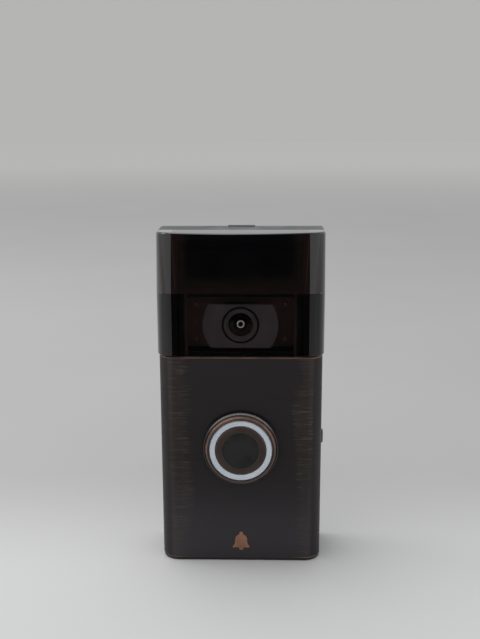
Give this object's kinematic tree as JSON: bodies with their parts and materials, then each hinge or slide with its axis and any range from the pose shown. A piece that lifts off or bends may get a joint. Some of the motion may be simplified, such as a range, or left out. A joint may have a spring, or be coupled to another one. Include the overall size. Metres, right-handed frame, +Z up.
{
  "type": "video doorbell",
  "caption": "Slim upright battery video doorbell with smoked camera window, glossy sensor cover, brushed dark bronze faceplate and a round lit push button.",
  "frame": {"origin": "middle of the lower edge of the face that lies on the wall", "axes": "+Z up, the front faces -Y, the wall is on the +Y side, +X is to the right of a visitor who faces the doorbell"},
  "size_m": [0.0628, 0.028, 0.1273],
  "materials": {
    "bronze": "brushed dark bronze with copper showing at the edges",
    "smoked_gloss": "smoked, see-through, polished",
    "cover_gloss": "near-opaque dark polished",
    "black_plastic": "fine moulded texture",
    "camera_grey": "fine matte",
    "lens_glass": "polished, dark coating",
    "bright_ring": "turned",
    "diffuser": "milky, satin",
    "copper_mark": "satin copper",
    "steel": "zinc plated",
    "brass": "turned",
    "board_green": "solder mask",
    "board_black": "black solder mask",
    "led_dark": "infrared-pass epoxy",
    "chip_black": "moulded epoxy",
    "sensor_can": "drawn can",
    "rubber_black": "soft",
    "foam": "closed-cell foam",
    "battery_wrap": "shrink film",
    "cable_jacket": "wire insulation",
    "flex_orange": "polyimide film",
    "connector_cream": "moulded nylon",
    "led_white": "phosphor and lens"
  },
  "bodies": {
    "bracket": {"mounting_bracket": "black_plastic", "security_screw": "steel"},
    "doorbell": {"threaded_insert": "brass", "rear_housing": "black_plastic", "housing_gasket": "rubber_black", "front_chassis": "black_plastic", "faceplate": "bronze", "bell_inlay": "copper_mark", "faceplate_adhesive": "foam", "camera_window": "smoked_gloss", "motion_sensor_cover": "cover_gloss", "camera_surround": "camera_grey", "lens_gasket": "rubber_black", "lens_ring": "camera_grey", "front_lens": "lens_glass", "lens_barrel": "chip_black", "lens_stop": "bright_ring", "lens_holder": "chip_black", "image_sensor": "chip_black", "camera_board": "board_black", "infrared_leds": "led_dark", "light_sensor": "chip_black", "camera_cable": "flex_orange", "motion_sensor_board": "board_black", "motion_sensors": "sensor_can", "post_screws": "steel", "main_circuit_board": "board_green", "board_screws": "steel", "processor_shield": "sensor_can", "wifi_antenna": "flex_orange", "usb_port": "steel", "battery_pack": "battery_wrap", "battery_pads": "foam", "battery_connector": "connector_cream", "battery_cable": "cable_jacket", "speaker_gasket": "foam", "speaker_driver": "chip_black", "microphone_seal": "rubber_black", "microphone": "sensor_can", "button_bezel": "bronze", "light_ring": "diffuser", "button_switch": "chip_black", "ring_light_board": "board_green", "ring_leds": "led_white", "setup_switch": "chip_black", "setup_switch_board": "board_green", "housing_screws": "steel", "terminal_plates": "brass", "terminal_screws": "steel"},
    "front_button": {"button_cap": "bronze", "button_centre": "black_plastic", "button_pad": "rubber_black"},
    "side_button": {"setup_button": "black_plastic"}
  },
  "joints": [
    {"name": "doorbell_lift", "type": "slide", "parent": "bracket", "child": "doorbell", "axis": [0, 0, 1], "range_m": [0, 0.008]},
    {"name": "front_button_press", "type": "slide", "parent": "doorbell", "child": "front_button", "axis": [0, 1, 0], "range_m": [0, 0.0008], "stiffness_N_per_m": 900},
    {"name": "side_button_press", "type": "slide", "parent": "doorbell", "child": "side_button", "axis": [-1, 0, 0], "range_m": [0, 0.0006], "stiffness_N_per_m": 600}
  ]
}
